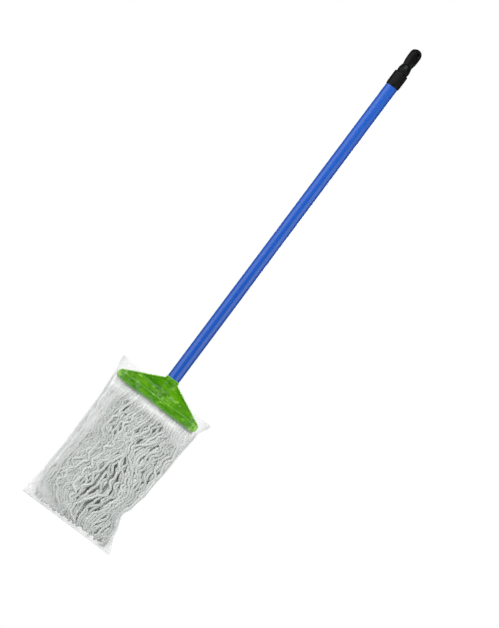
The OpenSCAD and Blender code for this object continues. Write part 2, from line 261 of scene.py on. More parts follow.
def black_polyethylene():
    # Moulded black polyethylene: satin, with spark-eroded grain about 0.6 mm across and dust in it
    material, tree, where = new_material("moulded_black_polyethylene")
    place = add(tree, "Mapping", {"Vector": where, "Scale": per_mm()})
    specks = add(tree, "TexNoise", {"Vector": place, "Scale": 1 / 6, "Detail": 5, "Roughness": 0.65})
    dust = add(tree, "MapRange", {"Value": specks, "From Min": 0.5, "From Max": 0.75})
    colour = add(tree, "Mix", {0: dust, 6: linear("#060708"), 7: linear("#121213")}, out=2,
                 data_type="RGBA")
    satin = add(tree, "TexNoise", {"Vector": place, "Scale": 1 / 2.5, "Detail": 3})
    rough = add(tree, "MapRange", {"Value": satin, "From Min": 0.3, "From Max": 0.7, "To Min": 0.34,
                                   "To Max": 0.52})
    spark = add(tree, "TexNoise", {"Vector": place, "Scale": 1 / 0.6, "Detail": 2})
    grain = add(tree, "Bump", {"Height": spark, "Strength": 0.3, "Distance": 0.06 * MM})
    shader = add(tree, "BsdfPrincipled", {"Base Color": colour, "Roughness": rough, "Normal": grain,
                                          "IOR": 1.51, "Specular IOR Level": 0.14})
    add(tree, "OutputMaterial", {"Surface": shader})
    return material


def zinc_plate():
    # Bright zinc-plated steel: cloudy grey metal with fine turning lines and dull spots 1.2 mm across
    material, tree, where = new_material("zinc_plated_steel")
    place = add(tree, "Mapping", {"Vector": where, "Scale": per_mm()})
    turned = add(tree, "Mapping", {"Vector": where, "Scale": per_mm(y=6)})
    cloud = add(tree, "TexNoise", {"Vector": place, "Scale": 1 / 3, "Detail": 4, "Roughness": 0.6})
    colour = add(tree, "Mix", {0: cloud, 6: linear("#9A9DA1"), 7: linear("#C9CBCD")}, out=2,
                 data_type="RGBA")
    spots = add(tree, "TexNoise", {"Vector": place, "Scale": 1 / 1.2, "Detail": 3})
    rough = add(tree, "MapRange", {"Value": spots, "From Min": 0.3, "From Max": 0.7, "To Min": 0.26,
                                   "To Max": 0.46})
    cuts = add(tree, "TexNoise", {"Vector": turned, "Scale": 1 / 1.5, "Detail": 2})
    lines = add(tree, "Bump", {"Height": cuts, "Strength": 0.15, "Distance": 0.03 * MM})
    shader = add(tree, "BsdfPrincipled", {"Base Color": colour, "Roughness": rough, "Metallic": 1.0,
                                          "Normal": lines})
    add(tree, "OutputMaterial", {"Surface": shader})
    return material


def cotton_yarn():
    # Carded cotton mop yarn, off-white with a cool cast: matte, hairy, each strand its own tone,
    # with fibres about 0.4 mm apart running along the plies
    material, tree, where = new_material("carded_cotton_yarn")
    place = add(tree, "Mapping", {"Vector": where, "Scale": per_mm()})
    hanging = add(tree, "Mapping", {"Vector": where, "Scale": per_mm(z=0.35)})
    tone = add(tree, "Attribute", out="Fac", attribute_name="tone")
    strand = add(tree, "Mix", {0: tone, 6: linear("#C9CECA"), 7: linear("#E4E8E4")}, out=2,
                 data_type="RGBA")
    husk = add(tree, "TexNoise", {"Vector": place, "Scale": 1 / 3.2, "Detail": 5, "Roughness": 0.7})
    fleck = add(tree, "MapRange", {"Value": husk, "From Min": 0.56, "From Max": 0.78})
    colour = add(tree, "Mix", {0: fleck, 6: strand, 7: linear("#BCC2BC")}, out=2, data_type="RGBA")
    fluff = add(tree, "TexNoise", {"Vector": place, "Scale": 1 / 1.6, "Detail": 3})
    lint = add(tree, "Bump", {"Height": fluff, "Strength": 0.35, "Distance": 0.3 * MM})
    fibres = add(tree, "TexNoise", {"Vector": hanging, "Scale": 1 / 0.45, "Detail": 3,
                                    "Roughness": 0.6})
    hairs = add(tree, "Bump", {"Height": fibres, "Strength": 0.4, "Distance": 0.15 * MM,
                               "Normal": lint})
    shader = add(tree, "BsdfPrincipled", {"Base Color": colour, "Roughness": 0.92, "Normal": hairs,
                                          "IOR": 1.45, "Sheen Weight": 0.35, "Sheen Roughness": 0.5,
                                          "Specular IOR Level": 0.15})
    add(tree, "OutputMaterial", {"Surface": shader})
    return material


def cotton_tape():
    # Plain-woven cotton tape: warp and weft about 1.2 mm apart, the coarsest that still reads as weave
    material, tree, where = new_material("woven_cotton_tape")
    place = add(tree, "Mapping", {"Vector": where, "Scale": per_mm()})
    across = add(tree, "TexWave", {"Vector": place, "Scale": 0.26, "Distortion": 0.6}, out="Fac",
                 bands_direction="X")
    down = add(tree, "TexWave", {"Vector": place, "Scale": 0.26, "Distortion": 0.6}, out="Fac",
               bands_direction="Z")
    weave = add(tree, "Math", {0: across, 1: down}, operation="MULTIPLY")
    colour = add(tree, "Mix", {0: weave, 6: linear("#BFC2BC"), 7: linear("#E6E7E2")}, out=2,
                 data_type="RGBA")
    threads = add(tree, "Bump", {"Height": weave, "Strength": 0.6, "Distance": 0.3 * MM})
    shader = add(tree, "BsdfPrincipled", {"Base Color": colour, "Roughness": 0.9, "Normal": threads,
                                          "Sheen Weight": 0.3})
    add(tree, "OutputMaterial", {"Surface": shader})
    return material


def polyester_thread():
    # Twisted polyester sewing thread: white, faintly shiny, with its twist about 0.8 mm apart
    material, tree, where = new_material("polyester_thread")
    place = add(tree, "Mapping", {"Vector": where, "Scale": per_mm()})
    twist = add(tree, "TexWave", {"Vector": place, "Scale": 0.45, "Distortion": 1.0}, out="Fac",
                bands_direction="DIAGONAL")
    colour = add(tree, "Mix", {0: twist, 6: linear("#D6D7D6"), 7: linear("#F4F4F2")}, out=2,
                 data_type="RGBA")
    plies = add(tree, "Bump", {"Height": twist, "Strength": 0.4, "Distance": 0.1 * MM})
    shader = add(tree, "BsdfPrincipled", {"Base Color": colour, "Roughness": 0.5, "Normal": plies,
                                          "Sheen Weight": 0.2})
    add(tree, "OutputMaterial", {"Surface": shader})
    return material


def polythene_film():
    # Low-density polythene film: clear, with a milky haze where the mesh's own haze value says so, that
    # value also carrying painted light; painted highlights as milky lines 1 to 2 mm wide along creases,
    # and blown-film lines down its length. Alpha thins the shine as well as the colour, so the index is
    # raised to make up for that.
    material, tree, where = new_material("polythene_film")
    place = add(tree, "Mapping", {"Vector": where, "Scale": per_mm()})
    blown = add(tree, "Mapping", {"Vector": where, "Scale": per_mm(z=0.05)})
    haze = add(tree, "Attribute", out="Fac", attribute_name="haze")
    uneven = add(tree, "TexNoise", {"Vector": place, "Scale": 1 / 26, "Detail": 4, "Roughness": 0.6})
    mottle = add(tree, "MapRange", {"Value": uneven, "From Min": 0.35, "From Max": 0.7,
                                    "To Min": 0.7, "To Max": 1.4})
    milky = add(tree, "Math", {0: haze, 1: mottle}, operation="MULTIPLY")
    ridge = add(tree, "TexNoise", {"Vector": place, "Scale": 1 / 17, "Detail": 3, "Roughness": 0.55})
    off = add(tree, "Math", {0: ridge, 1: 0.5}, operation="SUBTRACT")
    near = add(tree, "Math", {0: off}, operation="ABSOLUTE")
    # Painted highlights: milky lines along the crease ridges, in patches where the film is otherwise
    # clear
    crease_glint_line = add(tree, "MapRange", {"Value": near, "From Min": 0.004, "From Max": 0.05, "To Min": 0.2,
                                  "To Max": 0.0})
    patches = add(tree, "TexNoise", {"Vector": place, "Scale": 1 / 30, "Detail": 2})
    patch = add(tree, "MapRange", {"Value": patches, "From Min": 0.45, "From Max": 0.6})
    bare = add(tree, "MapRange", {"Value": haze, "From Min": 0.05, "From Max": 0.12, "To Min": 1,
                                  "To Max": 0})
    clear = add(tree, "Math", {0: patch, 1: bare}, operation="MULTIPLY")
    # The painted highlight lines, where they show
    crease = add(tree, "Math", {0: crease_glint_line, 1: clear}, operation="MULTIPLY")
    alpha = add(tree, "Math", {0: milky, 1: crease}, operation="ADD", use_clamp=True)
    drawn = add(tree, "TexNoise", {"Vector": blown, "Scale": 1 / 2.2, "Detail": 3})
    lines = add(tree, "Bump", {"Height": drawn, "Strength": 0.2, "Distance": 0.15 * MM})
    folds = add(tree, "Bump", {"Height": ridge, "Strength": 0.35, "Distance": 1.2 * MM,
                               "Normal": lines})
    crumple = add(tree, "TexNoise", {"Vector": place, "Scale": 1 / 7.5, "Detail": 2})
    crackle = add(tree, "Bump", {"Height": crumple, "Strength": 0.12, "Distance": 0.5 * MM,
                                 "Normal": folds})
    # Where the haze is thin the film is grey, painted shade for the light that the film holds back; thick
    # haze is near-white milk
    thick = add(tree, "MapRange", {"Value": haze, "From Min": 0.24, "From Max": 0.4})
    painted_grey_to_milk = add(tree, "Mix", {0: thick, 6: linear("#C6C8C9"), 7: linear("#F8F9F8")}, out=2,
               data_type="RGBA")
    shader = add(tree, "BsdfPrincipled", {"Base Color": painted_grey_to_milk, "Roughness": 0.4, "Alpha": alpha,
                                          "Normal": crackle, "IOR": 2.2, "Specular IOR Level": 0.6})
    add(tree, "OutputMaterial", {"Surface": shader})
    return material


# ---------------------------------------------------------------- hard parts


def give(node, material):
    """A carried-over part gets its own finish in every material slot."""
    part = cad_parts[node]
    part.data.materials.clear()
    part.data.materials.append(material)
    return part


def soften(node, voxel_mm, passes):
    """Moulded and formed parts have no sharp edges: rebuild the skin finely and relax it."""
    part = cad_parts[node]
    rebuilt = part.modifiers.new("fine_skin", "REMESH")
    rebuilt.mode = "VOXEL"
    rebuilt.voxel_size = voxel_mm * MM
    rebuilt.use_smooth_shade = True
    eased = part.modifiers.new("eased_edges", "SMOOTH")
    eased.factor = 0.5
    eased.iterations = passes


def smooth_turned(node, degrees=35):
    """Turned and drawn parts shade smoothly, and keep the edges sharper than this angle."""
    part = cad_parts[node]
    mesh = bmesh.new()
    mesh.from_mesh(part.data)
    flat = {e.index for e in mesh.edges if e.calc_face_angle(0) > math.radians(degrees)}
    mesh.free()
    part.data.polygons.foreach_set("use_smooth", [True] * len(part.data.polygons))
    if "sharp_edge" not in part.data.attributes:
        part.data.attributes.new("sharp_edge", "BOOLEAN", "EDGE")
    sharp = [i in flat for i in range(len(part.data.edges))]
    part.data.attributes["sharp_edge"].data.foreach_set("value", sharp)


def finish_hard_parts():
    green = moulded_polypropylene()
    black = black_polyethylene()
    zinc = zinc_plate()
    for node in ("front_jaw", "rear_jaw"):
        give(node, green)
        soften(node, 0.75, 5)
    for node in ("hang_loop", "cap_sleeve"):
        give(node, black)
        soften(node, 0.4, 5)
    give("tube_plug", black)
    give("tube_skin", pvc_skin())
    for node in ("steel_tube", "swivel_retainer", "hinge_pins", "clamp_bolt", "clamp_washer"):
        give(node, zinc)
    for node, voxel in (("wing_nut", 0.3), ("handle_screw", 0.2)):
        give(node, zinc)
        soften(node, voxel, 4)
    for node in ("tube_skin", "steel_tube", "tube_plug", "swivel_retainer", "hinge_pins", "clamp_bolt",
                 "clamp_washer"):
        smooth_turned(node)


# ---------------------------------------------------------------- mesh helpers


def make_piece(name, points_mm, faces, material, **values):
    """A mesh object from points in millimetres; values are named numbers kept on its points."""
    mesh = bpy.data.meshes.new(name)
    points = np.asarray(points_mm, float) * MM
    faces = np.asarray(faces, int)
    mesh.vertices.add(len(points))
    mesh.vertices.foreach_set("co", points.ravel())
    mesh.loops.add(faces.size)
    mesh.loops.foreach_set("vertex_index", faces.ravel())
    mesh.polygons.add(len(faces))
    mesh.polygons.foreach_set("loop_start", np.arange(len(faces)) * faces.shape[1])
    mesh.polygons.foreach_set("use_smooth", np.ones(len(faces), bool))
    for key, numbers in values.items():
        layer = mesh.attributes.new(key, "FLOAT", "POINT")
        layer.data.foreach_set("value", np.asarray(numbers, float))
    mesh.update(calc_edges=True)
    mesh.validate()
    mesh.materials.append(material)
    piece = bpy.data.objects.new(name, mesh)
    bpy.context.scene.collection.objects.link(piece)
    return piece


def grid_faces(rows, columns, closed=True):
    """Quads between rows of points; closed joins the last column to the first."""
    starts = np.arange(columns if closed else columns - 1)
    row, column = np.meshgrid(np.arange(rows - 1), starts, indexing="ij")
    after = (column + 1) % columns
    return np.stack([row * columns + column, row * columns + after, (row + 1) * columns + after,
                     (row + 1) * columns + column], -1).reshape(-1, 4)


def eased(x, knots):
    """A smooth curve through (x, y) knots."""
    xs, ys = np.array(knots, float).T
    place = np.clip(np.searchsorted(xs, x) - 1, 0, len(xs) - 2)
    t = np.clip((x - xs[place]) / (xs[place + 1] - xs[place]), 0, 1)
    t = t * t * (3 - 2 * t)
    return ys[place] + (ys[place + 1] - ys[place]) * t


def ripples(rng, count, longest, shortest, lean=1.0):
    """A random rippled surface: a function of (x, z) in mm that swings about -1 to 1."""
    length = np.exp(rng.uniform(math.log(shortest), math.log(longest), count))
    heading = rng.normal(0, lean, count)
    phase = rng.uniform(0, 2 * math.pi, count)
    weight = (length / longest) ** 0.6
    weight /= math.sqrt((weight ** 2).sum() / 2)

    def height(x, z):
        total = 0
        for size, turn, start, share in zip(length, heading, phase, weight):
            along = x * math.cos(turn) + z * math.sin(turn)
            total = total + share * np.sin(2 * math.pi * along / size + start)
        return total / 2

    return height


# ---------------------------------------------------------------- yarn

YARN_R = 3.2  # a strand's radius where it lies loose
CLAMPED = (3.4, 0.8)  # half of its width and of its depth where the band and the jaws press it
ACROSS = 27  # strands side by side
LAYERS = 6  # strands front to back
RING = 8  # points round a strand: a ridge and a groove for each of four plies
STEP = 2.6  # spacing of the rings down a strand
PLY_PITCH = 26.0  # one turn of the plies
DROP = CLIP_FOOT - YARN_FOOT  # how far the yarn hangs below the clip


def yarn_room(z):
    """Half of the depth that the yarn takes at height z."""
    return eased(CLIP_FOOT - z, [(-20, 3.4), (-1, 3.6), (8, 11.5), (24, 16.4), (DROP - 66, 16.4),
                                 (DROP - 26, 12), (DROP, 5.4)])


def yarn_sides(z):
    """Left and right reach of the yarn at height z, with the pinch in its right side."""
    down = (CLIP_FOOT - z) / DROP
    left = eased(down, [(-0.05, -96), (0.1, -99), (0.4, -98), (0.6, -97), (0.8, -100), (0.9, -97),
                        (1.0, -88)])
    right = eased(down, [(-0.05, 96), (0.06, 101), (0.3, 101), (0.5, 98), (0.64, 92), (0.745, 81),
                         (0.87, 91), (1.0, 95)])
    return left, right


# Partings, where two strands of the front lie apart and shade shows between them: place in x, drop below
# the clip, half of its length, and its lean in sideways mm per mm of drop. Strands run alongside them.
PARTINGS = [
    (-53, 31, 9, -0.25), (-42, 49, 7, -0.3), (-51, 69, 6, -0.5), (-22, 54, 8, -0.1),
    (-27, 82, 10, 0.0), (-28, 102, 9, 0.25), (-20, 115, 8, 0.1), (-9, 94, 9, 0.0),
    (-11, 121, 7, -0.5), (-17, 141, 13, -0.35), (-51, 160, 10, -0.3), (-34, 181, 8, 0.0),
    (-16, 180, 8, -0.2), (-45, 202, 6, -0.2), (-19, 208, 9, -0.25), (-29, 234, 8, -0.4),
    (0, 225, 6, -0.8), (-14, 249, 9, -0.4), (-68, 244, 6, 0.1), (-50, 251, 7, 0.2),
    (12, 258, 9, -0.1), (-3, 276, 8, 0.3), (35, 286, 7, 0.6), (-50, 288, 9, 0.65),
    (-28, 265, 9, 0.5), (35, 245, 8, -1.0), (53, 250, 8, -0.5), (80, 272, 6, 0.1),
    (27, 204, 6, -0.2), (23, 220, 8, -0.1), (30, 184, 9, 0.2), (18, 160, 9, 0.25),
    (8, 144, 9, -0.1), (13, 165, 9, 0.35), (7, 199, 7, 0.1), (19, 109, 7, 0.1), (21, 130, 10, 0.3),
    (28, 154, 12, 0.45), (46, 157, 9, 0.5), (55, 180, 7, 0.5), (65, 146, 6, 0.1), (77, 142, 6, 0.4),
    (82, 162, 6, 0.3), (67, 204, 10, 0.0), (50, 74, 9, -0.3), (45, 93, 10, -0.15),
    (30, 76, 18, -0.75), (62, 80, 8, -0.3), (33, 88, 7, -0.3), (55, 44, 8, 0.2), (24, 55, 9, -0.3),
    (8, 64, 9, -0.6), (50, 124, 8, 0.0), (72, 288, 8, -1.1), (-80, 70, 16, 0.3),
    (-75, 120, 16, 0.4), (-64, 150, 14, 0.2), (-80, 210, 14, 0.0), (-72, 280, 14, 0.6),
    (88, 240, 10, 0.5),
]
# Strands of the front that cross over their neighbours: seat, drop, half length, sideways shift
CROSSINGS = [(21, 96, 42, -26), (15, 128, 36, 15), (8, 236, 30, -12), (17, 262, 26, -20),
             (5, 120, 40, 13), (11, 255, 28, 14)]
PROUD = 2.4  # how far a crossing strand may stand out past the others
LIFTED = 2.6  # how far it is lifted on to them

# How loosely the strands hang: share of the partings' lean that the front layer and the others take up,
# and of a slow sway; then the widths in mm of two waves across and one front to back
FRONT_LEAN, INNER_LEAN, SWAY = 1.15, 1.1, 0.2
LONG_WAVE, SHORT_WAVE, DEPTH_WAVE = 3.4, 2.6, 2.2
EVEN_PULL, EDGE_PULL = 0.018, 0.06  # share of the way back to its seat at each ring, more at the edges

# How the strands settle against each other, as shares taken at each pass
SETTLE_PASSES = 44
PUSH_APART = 0.3
CLOSE_GAP = 0.24
STRAIGHTEN = 0.16
FRONT_HOLD, INNER_HOLD = 0.08, 0.03  # pull towards where a strand wants to hang
PRESS_FORWARD = 0.25  # mm by which the two front layers press on the film
PARTING_PUSH = 0.352  # mm by which a parting eases them aside


def flow(x, drop, partings):
    """The lean of the strands at a place: that of the partings round it."""
    lean, total = 0, 0.12
    for at_x, at_drop, length, slope in partings:
        weight = np.exp(-(((x - at_x) / 15) ** 2) - ((drop - at_drop) / (length + 12)) ** 2)
        lean, total = lean + weight * slope, total + weight
    return lean / total


def random_partings(rng, count):
    """Partings for the inner layers and the hidden side, leaning in loose groups."""
    sway = ripples(rng, 7, 150, 60, 0.8)
    found = []
    for _ in range(count):
        x, drop = rng.uniform(-88, 88), rng.uniform(30, DROP - 10)
        found.append((x, drop, rng.uniform(6, 12), 0.55 * float(sway(x, drop)) + rng.normal(0, 0.12)))
    return found


def strand_halves(z):
    """Half of a strand's width and of its depth at height z: flat in the clamp, round below it."""
    drop = CLIP_FOOT - z
    wide = eased(drop, [(-20, CLAMPED[0]), (0, CLAMPED[0]), (30, YARN_R), (DROP - 20, YARN_R),
                        (DROP, YARN_R * 0.9)])
    deep = eased(drop, [(-20, CLAMPED[1]), (0, CLAMPED[1] + 0.1), (30, YARN_R),
                        (DROP - 30, YARN_R), (DROP, YARN_R * 0.7)])
    return wide, deep


def loose_paths(rng, heights):
    """Where each strand would hang if the others left it room: (heights, strands, x and y)."""
    count = ACROSS * LAYERS
    layer = np.repeat(np.arange(LAYERS), ACROSS)
    seat = np.tile((np.arange(ACROSS) + 0.5) / ACROSS, LAYERS) + ((layer % 2) - 0.5) * 0.5 / ACROSS
    depth = (layer - (LAYERS - 1) / 2) / ((LAYERS - 1) / 2)
    fields = [PARTINGS, PARTINGS, *[random_partings(rng, 46) for _ in range(LAYERS - 2)]]
    left, right = yarn_sides(heights)
    x = left[0] + (right[0] - left[0]) * seat
    length, start = rng.uniform(30, 64, (3, count)), rng.uniform(0, 2 * math.pi, (3, count))
    sway = ripples(rng, 12, 110, 42, 0.9)
    out = np.zeros((len(heights), count, 2))
    for i, z in enumerate(heights):
        drop = CLIP_FOOT - z
        if i:
            slope = np.concatenate([flow(x[layer == k], drop, fields[k]) for k in range(LAYERS)])
            slope = np.where(layer == 0, FRONT_LEAN, INNER_LEAN) * slope
            slope = slope + SWAY * sway(x + 60 * layer, x * 0 + z)
            x = x + slope * (heights[i - 1] - z) * np.clip(drop / 25, 0, 1)
            even = left[i] + (right[i] - left[i]) * seat
            x = x + (EVEN_PULL + EDGE_PULL * np.abs(2 * seat - 1) ** 8) * (even - x)
        loose = np.clip(drop / 30, 0, 1)
        out[i, :, 0] = x + loose * LONG_WAVE * np.sin(2 * math.pi * z / length[0] + start[0])
        out[i, :, 0] += loose * SHORT_WAVE * np.sin(2 * math.pi * z / (length[2] * 0.6) + start[2])
        deep = loose * DEPTH_WAVE * np.sin(2 * math.pi * z / length[1] + start[1])
        out[i, :, 1] = depth * (yarn_room(z) - 2) + deep
    for seat_at, at_drop, half, shift in CROSSINGS:
        swing = shift * np.exp(-(((CLIP_FOOT - heights - at_drop) / half) ** 2))
        out[:, seat_at, 0] += swing
        out[:, seat_at, 1] -= LIFTED * np.clip(np.abs(swing) / 4, 0, 1)
    return out


def settle(paths, heights):
    """Pushes strands out of each other at every height, keeps them in the gathered yarn's room and
    keeps each one a smooth curve near where it wants to hang, side by side with its neighbours."""
    at = paths.astype(np.float32)
    wanted = at.copy()
    wide, deep = (half.astype(np.float32) for half in strand_halves(heights))
    left, right = yarn_sides(heights)
    room = yarn_room(heights)
    drop = CLIP_FOOT - heights
    squash = np.stack([np.ones_like(wide), wide / deep], -1)[:, None, :]
    gap = (2 * wide)[:, None, None]
    strand = np.arange(at.shape[1])
    proud = np.zeros(len(strand))
    proud[[crossing[0] for crossing in CROSSINGS]] = PROUD
    hold = np.where(strand < ACROSS, FRONT_HOLD, INNER_HOLD).astype(np.float32)[None, :, None]
    first = strand[(strand % ACROSS < ACROSS - 1) & (strand >= ACROSS)]  # each inner one with a neighbour
    for step in range(SETTLE_PASSES):
        scaled = at * squash
        apart = scaled[:, :, None, :] - scaled[:, None, :, :]
        distance = np.sqrt((apart ** 2).sum(-1)) + 1e-6
        push = np.clip(gap - distance, 0, None) / distance
        push[:, strand, strand] = 0
        at = at + PUSH_APART * (push[..., None] * apart).sum(2) / squash
        spare = np.clip(at[:, first + 1, 0] - at[:, first, 0] - 2.5 * wide[:, None], 0, None)
        at[:, first, 0] += CLOSE_GAP * spare
        at[:, first + 1, 0] -= CLOSE_GAP * spare
        if step > SETTLE_PASSES // 2:
            part_strands(at, drop)
        middle = (at[2:] + at[:-2]) / 2
        at[1:-1] += STRAIGHTEN * (middle - at[1:-1])
        at += hold * (wanted - at)
        at[:, : 2 * ACROSS, 1] -= PRESS_FORWARD
        at[..., 0] = np.clip(at[..., 0], (left + wide)[:, None], (right - wide)[:, None])
        front, back = (deep - room - 0.4)[:, None] - proud, (room + 0.4 - deep)[:, None]
        at[..., 1] = np.clip(at[..., 1], front, back)
    return at.astype(float)


def part_strands(at, drop):
    """Eases the two front layers aside at each parting."""
    for at_x, at_drop, length, slope in PARTINGS:
        down = drop - at_drop
        shut = np.exp(-((down / (0.75 * length)) ** 2))[:, None]
        off = at[:, : 2 * ACROSS, 0] - (at_x + slope * down)[:, None]
        away = np.sign(off) * np.exp(-((off / 5.0) ** 2)) * shut
        at[:, : 2 * ACROSS, 0] += PARTING_PUSH * away


def twisted_strand(path, halves, rng):
    """Four plies twisted together round a path: points, ring by ring, and their faces."""
    along = np.gradient(path, axis=0)
    along /= np.linalg.norm(along, axis=1)[:, None]
    side = np.cross(along, [0.0, 1.0, 0.0])
    side /= np.linalg.norm(side, axis=1)[:, None]
    other = np.cross(side, along)
    travelled = np.r_[0, np.cumsum(np.linalg.norm(np.diff(path, axis=0), axis=1))]
    turn = 2 * math.pi * (np.arange(RING) / RING + rng.uniform())
    turn = turn[None, :] + (2 * math.pi * travelled / PLY_PITCH)[:, None]
    ridge = np.where(np.arange(RING) % 2 == 0, 1.06, 0.88)
    wide, deep = (halves[k][:, None] * ridge[None, :] for k in (0, 1))
    points = (path[:, None, :] + (wide * np.cos(turn))[..., None] * side[:, None, :]
              + (deep * np.sin(turn))[..., None] * other[:, None, :])
    return points.reshape(-1, 3), grid_faces(len(path), RING)


def strands_mesh(name, paths, girths, rng, material):
    """One piece from many strands, each closed at both ends and with its own tone."""
    points, faces, tones, start = [], [], [], 0
    for path, halves in zip(paths, girths):
        ring_points, ring_faces = twisted_strand(path, halves, rng)
        ends = np.array([path[0], path[-1]])
        n = len(ring_points)
        fan = []
        for tip, first in ((n, 0), (n + 1, n - RING)):
            for k in range(0, RING, 2):
                fan.append((tip, first + k, first + (k + 1) % RING, first + (k + 2) % RING))
        points.append(np.r_[ring_points, ends])
        faces.append(np.r_[ring_faces, np.array(fan)] + start)
        tones.append(np.full(n + 2, rng.uniform(0.15, 1.0)))
        start += n + 2
    return make_piece(name, np.concatenate(points), np.concatenate(faces), material,
                      tone=np.concatenate(tones))


# The yarn's pieces: name, the layers in each, and the plain solids that it stands for
YARN_PIECES = [
    ("yarn_front_face", (0, 1), ["yarn_front"]), ("yarn_front_fill", (2,), ["yarn_front", "yarn_core"]),
    ("yarn_back_fill", (3,), ["yarn_back"]), ("yarn_back_face", (4, 5), ["yarn_back"]),
]
SHORT = [(0, 3), (1, 5), (7, 12), (7, 12), (1, 5), (0, 3)]  # rings that each layer ends short of the foot


def make_yarn(material):
    """The strands in four pieces; returns where they lie, for the bag to drape over."""
    rng = np.random.default_rng(7)
    heights = np.arange(BAND_TOP - 0.5, YARN_FOOT - 4, -STEP)
    paths = settle(loose_paths(rng, heights), heights)
    halves = np.stack(strand_halves(heights))
    for name, layers, nodes in YARN_PIECES:
        strands, girths = [], []
        for k in layers:
            for i in range(k * ACROSS, (k + 1) * ACROSS):
                cut = len(heights) - int(rng.integers(*SHORT[k]))
                strands.append(np.c_[paths[:cut, i], heights[:cut]])
                girth = halves[:, :cut] * rng.uniform(0.94, 1.04)
                girth[:, -2:] *= (1.08, 0.8)
                girths.append(girth)
        piece = strands_mesh(name, strands, girths, rng, material)
        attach(piece, "handle")
        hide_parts(*nodes)
    return paths, heights, halves


# ---------------------------------------------------------------- headband

STITCH_ROWS = (4.4, 9.9)  # heights of the rows of stitches above the tape's foot
STITCH_FOOT = 4.0  # height at which the stitches' own box starts
STITCH_PITCH = 8.0
STITCH_LENGTH = 5.0
THREAD_R = 0.28
THREAD_SIDES = 6


def make_tape(name, node, facing, material):
    """One woven tape of the headband: a thin strip, quilted a little by its two rows of stitches."""
    low, high = box_mm(node)
    rng = np.random.default_rng(11 if facing > 0 else 12)
    wave = ripples(rng, 6, 60, 14, 0.3)
    xs, zs = np.linspace(low[0], high[0], 130), np.linspace(high[2], low[2], 22)
    x, z = np.meshgrid(xs, zs)
    rows = np.array(STITCH_ROWS) + low[2]
    dip = sum(np.exp(-(((z - row) / 1.3) ** 2)) for row in rows)
    lift = 0.12 * wave(x, z) - 0.22 * dip
    thick = high[1] - low[1]
    outer = (high[1] if facing > 0 else low[1]) + facing * (lift - 0.12)
    inner = outer - facing * (thick - 0.3)
    front = np.stack([x, outer, z], -1).reshape(-1, 3)
    back = np.stack([x, inner, z], -1).reshape(-1, 3)
    faces = grid_faces(len(zs), len(xs), closed=False)
    under = faces[:, ::-1] + len(front)
    count = len(xs)
    rim = [*range(count), *[r * count + count - 1 for r in range(1, len(zs))],
           *[(len(zs) - 1) * count + c for c in range(count - 2, -1, -1)],
           *[r * count for r in range(len(zs) - 2, 0, -1)]]
    sides = np.array([(a, a + len(front), b + len(front), b) for a, b in zip(rim, rim[1:] + rim[:1])])
    faces = np.concatenate([faces, under, sides])
    if facing > 0:
        faces = faces[:, ::-1]
    piece = make_piece(name, np.concatenate([front, back]), faces, material)
    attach(piece, "handle")
    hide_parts(node)
    return piece


def make_stitches(material):
    """Two rows of lockstitch on each tape, as short rounded runs of thread that dive into the tape."""
    low, high = box_mm("band_stitches")
    count = int((high[0] - low[0]) / STITCH_PITCH)
    points, faces, start = [], [], 0
    steps = np.linspace(0, 1, 9)
    angle = np.arange(THREAD_SIDES) * math.pi / 3
    ring = np.stack([np.zeros(THREAD_SIDES), np.cos(angle), np.sin(angle)], -1)
    thin = THREAD_R * np.sqrt(np.clip(1.05 - (2 * steps - 1) ** 2, 0.05, 1))
    for facing in (-1, 1):
        for row in STITCH_ROWS:
            for i in range(-(count // 2), count // 2 + 1):
                x = i * STITCH_PITCH + (steps - 0.5) * STITCH_LENGTH
                y = facing * (TAPE_HIGH[1] - 0.3 + 0.3 * np.sin(math.pi * steps))
                path = np.stack([x, y, np.full_like(x, low[2] + row - STITCH_FOOT)], -1)
                points.append((path[:, None, :] + thin[:, None, None] * ring[None]).reshape(-1, 3))
                faces.append(grid_faces(len(steps), THREAD_SIDES) + start)
                start += len(steps) * THREAD_SIDES
    piece = make_piece("band_stitching", np.concatenate(points), np.concatenate(faces), material)
    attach(piece, "handle")
    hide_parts("band_stitches")


# ---------------------------------------------------------------- bag

SEAL = 5.0  # height of the welded seam at the bag's foot
ROWS = 150  # rings of points down the bag
SIDE = 96  # points across each side
HEM = 1.5  # width of flat film at the bag's side edges
OVER = 1.05  # the film meets a strand as if it were this much fatter
# Where the film stands off the yarn and hazes it, and one band of painted light below the clip: place in
# x, drop below the clip, reach in x and in drop, and how milky it is there
HAZE_AND_PAINTED_LIGHT_PATCHES = [
    # The third entry, the band just below the clip, is painted light: pale film laid over the shade that
    # the clip casts on the yarn
    (-90, 60, 20, 70, 0.5), (-74, 288, 45, 24, 0.36), (0, 9, 120, 20, 0.42), (78, 34, 26, 18, 0.3),
    (-45, 112, 26, 26, 0.16), (102, 70, 9, 90, 0.2), (0, 302, 120, 10, 0.3), (-95, 170, 19, 105, 0.5),
    (104, 290, 12, 20, 0.2), (66, 226, 18, 10, 0.2), (-108, -40, 12, 12, 0.1), (114, -32, 14, 14, 0.2),
]


def bag_sides(down):
    """Left and right edge of the bag, by the share of the way down from its mouth."""
    left = BAG_LOW[0] + eased(down, [(0, 1), (0.09, 7), (0.3, 11), (0.6, 11), (0.8, 8.5), (1, 2)])
    right = BAG_HIGH[0] - eased(down, [(0, 1), (0.1, 13), (0.3, 17.5), (0.57, 23), (0.69, 30),
                                       (0.755, 38), (0.87, 27), (1, 12)])
    return left, right


def shifted(grid, reach, axis):
    """The grid moved by each step from -reach to reach along one axis, with its edges repeated."""
    padded = np.pad(grid, [(reach, reach) if k == axis else (0, 0) for k in (0, 1)], mode="edge")
    length = grid.shape[axis]
    return [np.take(padded, range(k, k + length), axis) for k in range(2 * reach + 1)]


